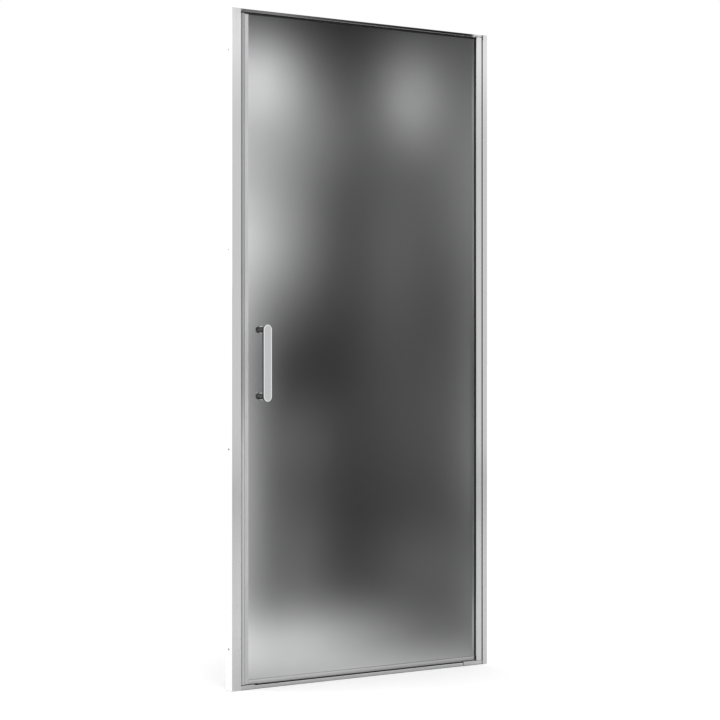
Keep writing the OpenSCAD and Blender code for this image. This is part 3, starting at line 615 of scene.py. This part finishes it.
# %% Shape one screw
low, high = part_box("plug_screws")
HEAD_R = (high[0] - low[0]) / 2
HEAD_H = 0.0013
SHANK_R = 0.00175
TIP_L = 0.0008
TIP_NARROW = 0.4
ROUND = 48
screw_x, head_y, screw_z = (low[0] + high[0]) / 2, high[1], low[2] + HEAD_R


def screw_end(y):
    return (screw_x, y, screw_z)


bpy.ops.mesh.primitive_cylinder_add(vertices=ROUND, radius=HEAD_R, depth=HEAD_H,
                                    location=screw_end(head_y - HEAD_H / 2), rotation=(math.pi / 2, 0, 0))
screw = settle(bpy.context.object)
edit_faces()
neck = SHANK_R / HEAD_R
scale_faces(screw, (0, -1, 0), screw_end(head_y - HEAD_H), (neck, 1, neck))
shank_l = head_y - HEAD_H - low[1] - TIP_L
bpy.ops.mesh.extrude_region_move(TRANSFORM_OT_translate={"value": (0, -shank_l, 0)})
bpy.ops.mesh.extrude_region_move(TRANSFORM_OT_translate={"value": (0, -TIP_L, 0)})
scale_faces(screw, (0, -1, 0), screw_end(low[1]), (TIP_NARROW, 1, TIP_NARROW))
bpy.ops.object.mode_set(mode="OBJECT")
print("screw", round(head_y - low[1], 4), "long, head", round(2 * HEAD_R, 4), "wide")

# %% [markdown]
# A cross could be drawn with bump, but a recess has walls that catch light, so it is cut. Two wedges cut
# it, and a narrow bevel softens the rim. The second screw is a copy at the top of the stile.

# %% Cut the cross
RECESS_L = 0.0036
RECESS_W = 0.0009
RECESS_DEPTH = 0.0011
RECESS_NARROW = 0.5
RIM_BEVEL = 0.00008
for long_x, long_z in ((RECESS_L, RECESS_W), (RECESS_W, RECESS_L)):
    bpy.ops.mesh.primitive_cube_add(size=1, location=screw_end(head_y),
                                    scale=(long_x, 2 * RECESS_DEPTH, long_z))
    wedge = settle(bpy.context.object)
    edit_faces()
    scale_faces(wedge, (0, -1, 0), screw_end(head_y - RECESS_DEPTH), (RECESS_NARROW, 1, RECESS_NARROW))
    bpy.ops.object.mode_set(mode="OBJECT")
    cut_away(screw, wedge)
modify(screw, "BEVEL", width=RIM_BEVEL, segments=2, limit_method="ANGLE", angle_limit=math.radians(40))
upper_screw = copy_to(screw, (0, 0, high[2] - low[2] - 2 * HEAD_R))
screws = join_as("cross_screws", [screw, upper_screw])
hand_over(screws, "leaf", "plug_screws", "screw_steel")

# %% [markdown]
# ## Caps over the jamb screws
# Snap-on caps hide the screws that hold each jamb in its wall channel. A moulded cap is a thin shell with a
# round shoulder, and it has a small notch at its foot for a blade to lift it off. A cylinder becomes one:
# its foot is opened, its rim is bevelled to a shoulder, Solidify gives it a wall, and a block cuts the
# notch.

# %% Shape one cap
low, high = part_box("jamb_screw_caps")
CAP_R = 0.005
CAP_WALL = 0.0008
SHOULDER = 0.0018
NOTCH = (0.0022, 0.0008, 0.0012)
cap_h = high[1] - low[1]
cap_at = (low[0] + CAP_R, (low[1] + high[1]) / 2, low[2] + CAP_R)

bpy.ops.mesh.primitive_cylinder_add(vertices=ROUND, radius=CAP_R, depth=cap_h, location=cap_at,
                                    rotation=(math.pi / 2, 0, 0))
cap = settle(bpy.context.object)
edit_faces()
pick_faces(cap, (0, -1, 0))
bpy.ops.mesh.delete(type="ONLY_FACE")
pick_faces(cap, (0, 1, 0))
bpy.ops.mesh.bevel(offset=SHOULDER, segments=6, profile=0.5, affect="EDGES")
bpy.ops.object.mode_set(mode="OBJECT")
modify(cap, "SOLIDIFY", thickness=CAP_WALL, offset=-1)
bpy.ops.mesh.primitive_cube_add(size=1, location=(cap_at[0], low[1], cap_at[2] - CAP_R), scale=NOTCH)
cut_away(cap, settle(bpy.context.object))
print("cap", round(2 * CAP_R, 4), "wide,", round(cap_h, 4), "high")

# %% [markdown]
# Three caps sit on each jamb, at even distances. The first one is copied to the other five places.

# %% Set out the caps
CAP_ROWS = 3
cap_across = high[0] - low[0] - 2 * CAP_R
row_gap = (high[2] - low[2] - 2 * CAP_R) / (CAP_ROWS - 1)
caps = [cap] + [copy_to(cap, (side * cap_across, 0, row * row_gap))
                for side in range(2) for row in range(CAP_ROWS) if side or row]
caps = join_as("snap_caps", caps)
hand_over(caps, "frame", "jamb_screw_caps", "cap_plastic")

# %% [markdown]
# ## The studio
# The photo has a plain white background and soft light. The world is white where the camera, a reflection
# or the glass looks at it, and a little weaker as a lamp, so that colours render about as they are written.
# The floor is pale and keeps the door's shadow. Polished metal mirrors it a little darker than the world,
# which tones the foot of each upright down.

# %% World and floor
WORLD_LAMP = 0.85
FLOOR_SIZE = 800
FLOOR_GLOW = 0.27
FLOOR_MIRRORED = 0.2


def seen_directly(tree, mirrored=1.0):
    path = put(tree, "LightPath").outputs
    glossy = calc(tree, "MULTIPLY", path["Is Glossy Ray"], mirrored)
    either = calc(tree, "MAXIMUM", path["Is Camera Ray"], glossy)
    return calc(tree, "MAXIMUM", either, path["Is Transmission Ray"])


world = bpy.data.worlds.new("studio")
world.use_nodes = True
scene.world = world
tree = world.node_tree
background = tree.nodes["Background"]
background.inputs["Color"].default_value = (1, 1, 1, 1)
strength = ramp_between(tree, seen_directly(tree), 0, 1, WORLD_LAMP, 1.0)
tree.links.new(strength, background.inputs["Strength"])

bpy.ops.mesh.primitive_plane_add(size=FLOOR_SIZE, location=(0, 0, 0))
floor = bpy.context.object
floor.name = "floor"
material, tree, shader = start_material("floor_paint")
shader.inputs["Base Color"].default_value = (0.9, 0.9, 0.9, 1)
shader.inputs["Roughness"].default_value = 0.9
shader.inputs["Specular IOR Level"].default_value = 0.0
shader.inputs["Emission Color"].default_value = (1, 1, 1, 1)
glow = calc(tree, "MULTIPLY", seen_directly(tree, mirrored=FLOOR_MIRRORED), FLOOR_GLOW)
tree.links.new(glow, shader.inputs["Emission Strength"])
floor.data.materials.append(material)
print("world lights at", WORLD_LAMP, "and the floor glows at", FLOOR_GLOW)


# %% [markdown]
# Two large soft lamps stand well away, one in front and one at the left behind the door, at a plain level.
# Small lamps would give hard shadows, which the photo doesn't have.

# %% Lamps
def softbox(name, at, look, size, watts):
    turn = (Vector(look) - Vector(at)).to_track_quat("-Z", "Y").to_euler()
    bpy.ops.object.light_add(type="AREA", location=at, rotation=turn)
    lamp = bpy.context.object
    lamp.name = name
    lamp.data.shape = "RECTANGLE"
    lamp.data.size, lamp.data.size_y = size
    lamp.data.energy = watts
    lamp.visible_camera = False
    print(name, watts, "watts")


softbox("key_lamp", (-1.8, -3.6, 3.4), (0, 0, 0.8), (2.4, 2.4), 60)
softbox("side_lamp", (-3.4, 2.8, 1.4), (0, 0, 1.0), (3.0, 3.0), 40)

# %% [markdown]
# ## Soft pools of light
# Etched glass has little look of its own: it shows a blurred room. A picture of a room could stand behind
# it, but a few soft pools of light on a plain flat blur to the same look. A pool is brightest at its centre
# and falls off like a bell over its spread. A pool with a level below zero takes light away.

# %% Light pool group
tree, given, out = start_group("light_pool", [
    ("Centre", "Vector", (0, 0, 0)),
    ("Spread", "Vector", (1, 1, 1)),
    ("Level", "Float", 0.1),
], output="Light")
away = calc_vector(tree, "SUBTRACT", piece_place(tree), given["Centre"])["Vector"]
away = calc_vector(tree, "DIVIDE", away, given["Spread"])["Vector"]
square = calc_vector(tree, "DOT_PRODUCT", away, away)["Value"]
fall = calc(tree, "POWER", math.exp(-1), square)
tree.links.new(calc(tree, "MULTIPLY", fall, given["Level"]), out)
print("light_pool:", len(tree.nodes), "nodes")


# %% [markdown]
# ## Flats that only some rays see
# A flat is a thin card on the stage. The camera never sees it. It may show one look to rays that have
# passed through the glass, and another to rays that metal mirrors, and where it has no look for a ray it is
# clear. So it neither lights the door nor shows beside it. Each look is a level, a list of pools and, if
# wanted, a light that is added only for mirrors behind the glass.

# %% Flats
PAPER_WHITE = (1, 1, 0.99, 1)


def glow_of(tree, level, pools, for_mirrors=0.0):
    mirrored = put(tree, "LightPath").outputs["Is Reflection Ray"]
    total = calc(tree, "MULTIPLY_ADD", mirrored, for_mirrors, level)
    for centre, spread, strength in pools:
        pool = use_group(tree, "light_pool", {"Centre": centre, "Spread": spread, "Level": strength})
        total = calc(tree, "ADD", pool, total)
    total = calc(tree, "MAXIMUM", total, 0.0)
    return put(tree, "Emission", {"Color": PAPER_WHITE, "Strength": total}).outputs[0]


def flat(name, low, high, through=None, mirrored=None):
    level = low[2] == high[2]
    middle = [(a + b) / 2 for a, b in zip(low, high)]
    size = [b - a or 1 for a, b in zip(low, high)]
    bpy.ops.mesh.primitive_plane_add(size=1, location=middle, rotation=(0 if level else math.pi / 2, 0, 0))
    bpy.ops.transform.resize(value=size)
    card = settle(bpy.context.object)
    card.name = name
    material = bpy.data.materials.new(name)
    material.use_nodes = True
    tree = material.node_tree
    tree.nodes.clear()
    past_glass = calc(tree, "GREATER_THAN", put(tree, "LightPath").outputs["Transmission Depth"], 0.5)
    clear = put(tree, "BsdfTransparent").outputs[0]
    look = put(tree, "MixShader", {0: past_glass, 1: glow_of(tree, *mirrored) if mirrored else clear,
                                   2: glow_of(tree, *through) if through else clear})
    put(tree, "OutputMaterial", {"Surface": look.outputs[0]})
    card.data.materials.append(material)
    card.visible_camera = card.visible_diffuse = card.visible_shadow = False
    print(name, [round(v, 3) for v in card.dimensions])


# %% [markdown]
# ## What the frosted glass looks at
# In the photo the glass looks dark, with pale light at the left, two soft pools near the top and a bright
# band along the bottom. A dark flat stands behind the door, and a brighter one lies on the floor there and
# gives the band. Metal behind the glass, such as the frame seen through the open leaf, would mirror the
# dark flat and turn black, so that flat is a little paler for mirrors.
#
# Thirteen of the dark flat's pools came from a least squares fit to the tones of the photographed glass.
# Eight of these were then changed, and two more were added. All of them could be chosen by
# eye instead, because no other number depends on them.

# %% The dark flat and the bright one
ROOM_Y = 0.40
ROOM_LEVEL = 0.004
ROOM_FOR_MIRRORS = 0.12
ROOM_POOLS = [
    ((-0.08, ROOM_Y, 1.82), (0.15, 1.0, 0.12), 0.88),
    ((-0.07, ROOM_Y, 1.67), (0.30, 1.0, 0.18), 0.48),
    ((-0.14, ROOM_Y, 1.33), (0.24, 1.0, 0.23), 0.78),
    ((-0.23, ROOM_Y, 0.60), (0.12, 1.0, 0.90), 1.10),
    ((0.08, ROOM_Y, 0.70), (0.13, 1.0, 0.13), 0.12),
    ((0.07, ROOM_Y, 0.30), (0.13, 1.0, 0.26), 0.17),
    ((0.55, ROOM_Y, 1.79), (0.12, 1.0, 0.15), 0.53),
    ((0.46, ROOM_Y, 1.30), (0.14, 1.0, 0.34), 0.12),
    ((0.55, ROOM_Y, 0.73), (0.26, 1.0, 0.30), 0.06),
    ((0.59, ROOM_Y, 0.28), (0.21, 1.0, 0.13), 0.10),
    ((0.98, ROOM_Y, 1.60), (0.33, 1.0, 0.41), 0.31),
    ((1.20, ROOM_Y, 0.41), (0.25, 1.0, 0.90), 1.38),
    ((0.02, ROOM_Y, 0.05), (0.45, 1.0, 0.10), 0.82),
    ((-0.85, ROOM_Y, 1.00), (0.16, 1.0, 0.50), 0.28),
    ((1.13, ROOM_Y, 0.36), (0.24, 1.0, 0.15), -0.40),
]
TRAY_Y = 0.03
TRAY_LEVEL = 0.24
TRAY_POOLS = [
    ((0.20, ROOM_Y, 0.0), (0.70, 0.14, 1.0), 0.55),
    ((-0.10, 0.20, 0.0), (0.60, 1.00, 1.0), 0.30),
    ((0.20, TRAY_Y, 0.0), (0.60, 0.10, 1.0), 0.60),
]
flat("room_flat", (-1.8, ROOM_Y, 0.0), (2.8, ROOM_Y, 2.8),
     through=(ROOM_LEVEL, ROOM_POOLS, ROOM_FOR_MIRRORS))
flat("tray_flat", (-1.8, TRAY_Y, 0.001), (2.8, ROOM_Y, 0.001), through=(TRAY_LEVEL, TRAY_POOLS))

# %% [markdown]
# A third large flat stands well in front of the door. Polished metal mirrors it as a pale window wall, a
# little brighter above and darker below. Seen through the glass from behind it is a dim room, so the leaf
# keeps its depth from both sides.

# %% Flat before the door
FRONT_Y = -1.60
DIM_LEVEL = 0.05
DIM_POOLS = [
    ((0.3, FRONT_Y, 1.7), (0.9, 1.0, 0.5), 0.25),
    ((-0.4, FRONT_Y, 0.2), (1.2, 1.0, 0.4), 0.45),
]
WINDOW_LEVEL = 0.90
WINDOW_POOLS = [
    ((1.2, FRONT_Y, 2.16), (3.0, 1.0, 0.20), 0.32),
    ((1.2, FRONT_Y, 0.42), (3.0, 1.0, 0.14), -0.20),
]
flat("window_flat", (-3.0, FRONT_Y, 0.0), (4.0, FRONT_Y, 3.0), through=(DIM_LEVEL, DIM_POOLS),
     mirrored=(WINDOW_LEVEL, WINDOW_POOLS))

# %% [markdown]
# A small dark flag hangs just in front of the head rail, a little above it. Two white cards are near the
# left channel, one behind it and one on the floor under its side. Only reflections see them. A polished
# profile is a mirror: it looks dark when it faces something dark, which is how the photo shows the rail,
# and white when it faces white, as the left channel's side does.

# %% Flag and cards
FLAG_Y = -0.12
FLAG_LEVEL = 0.02
FLAG_POOLS = [
    ((-0.27, FLAG_Y, 2.0), (0.14, 1.0, 9.0), 0.26),
    ((-0.30, FLAG_Y, 2.0), (0.50, 1.0, 9.0), 0.12),
]
WHITE_CARD = (1.6, [])
flat("rail_flag", (-0.373, FLAG_Y, 1.950), (0.545, FLAG_Y, 2.2), mirrored=(FLAG_LEVEL, FLAG_POOLS))
flat("side_card", (-0.70, 0.045, 0.001), (-0.505, 0.045, 1.15), mirrored=WHITE_CARD)
flat("side_floor_card", (-0.56, -0.015, 0.001), (-0.502, 0.045, 0.001), mirrored=WHITE_CARD)
